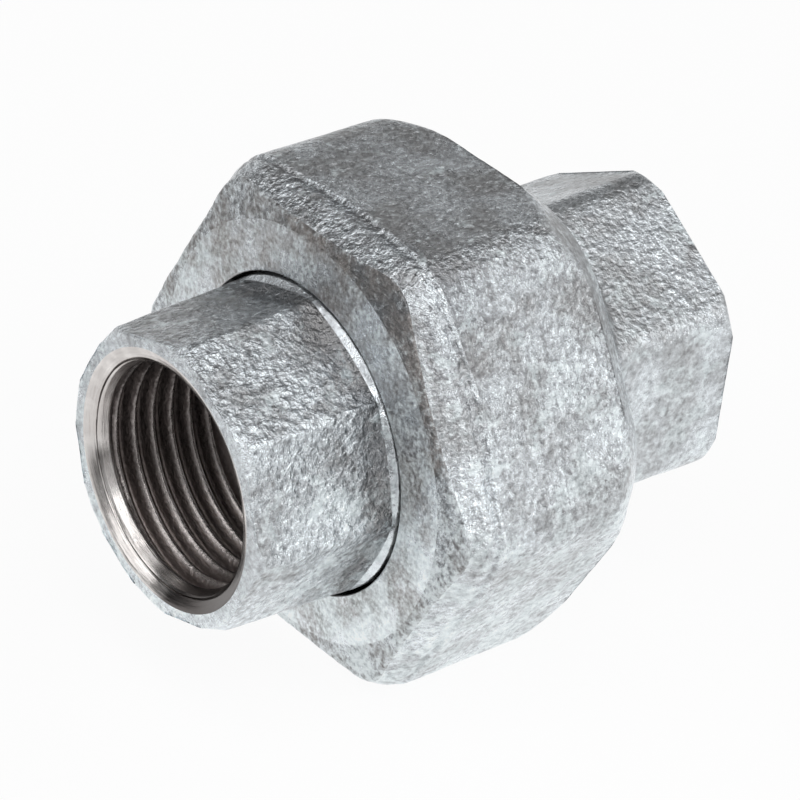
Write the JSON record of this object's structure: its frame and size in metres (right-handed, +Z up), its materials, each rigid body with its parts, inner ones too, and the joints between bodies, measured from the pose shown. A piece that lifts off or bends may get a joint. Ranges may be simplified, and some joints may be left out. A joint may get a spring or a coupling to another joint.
{
  "type": "pipe union",
  "caption": "Galvanised iron pipe union: hexagon union nut over an octagon tailpiece, hexagon threaded end, flat gasket inside, female pipe thread at each end.",
  "frame": {"origin": "on the pipe axis, midway between the two mouths, with the nut drawn up", "axes": "+X along the pipe axis toward the threaded end's mouth, +Z up, square to the nut's top flat"},
  "size_m": [0.048, 0.0444, 0.0398],
  "materials": {
    "galvanised_iron": "hot-dip galvanised cast surface, machined at the mouths",
    "gasket_rubber": "matt"
  },
  "bodies": {
    "threaded_end": {"threaded_end": "galvanised_iron"},
    "seal": {"gasket": "gasket_rubber"},
    "nut": {"union_nut": "galvanised_iron"},
    "tailpiece": {"tailpiece": "galvanised_iron"}
  },
  "joints": [
    {"name": "draw_off", "type": "slide", "parent": "threaded_end", "child": "seal", "axis": [-1, 0, 0], "range_m": [0, 0.0104]},
    {"name": "nut_turn", "type": "hinge", "parent": "seal", "child": "nut", "pos_m": [0, 0, 0], "axis": [-1, 0, 0], "range_deg": [0, 1620]},
    {"name": "tail_swivel", "type": "hinge", "parent": "seal", "child": "tailpiece", "pos_m": [-0.012, 0, 0], "axis": [-1, 0, 0], "continuous": true}
  ],
  "couplings": [
    {"joint": "draw_off", "follows": "nut_turn", "m_per_rad": 0.00036749}
  ]
}
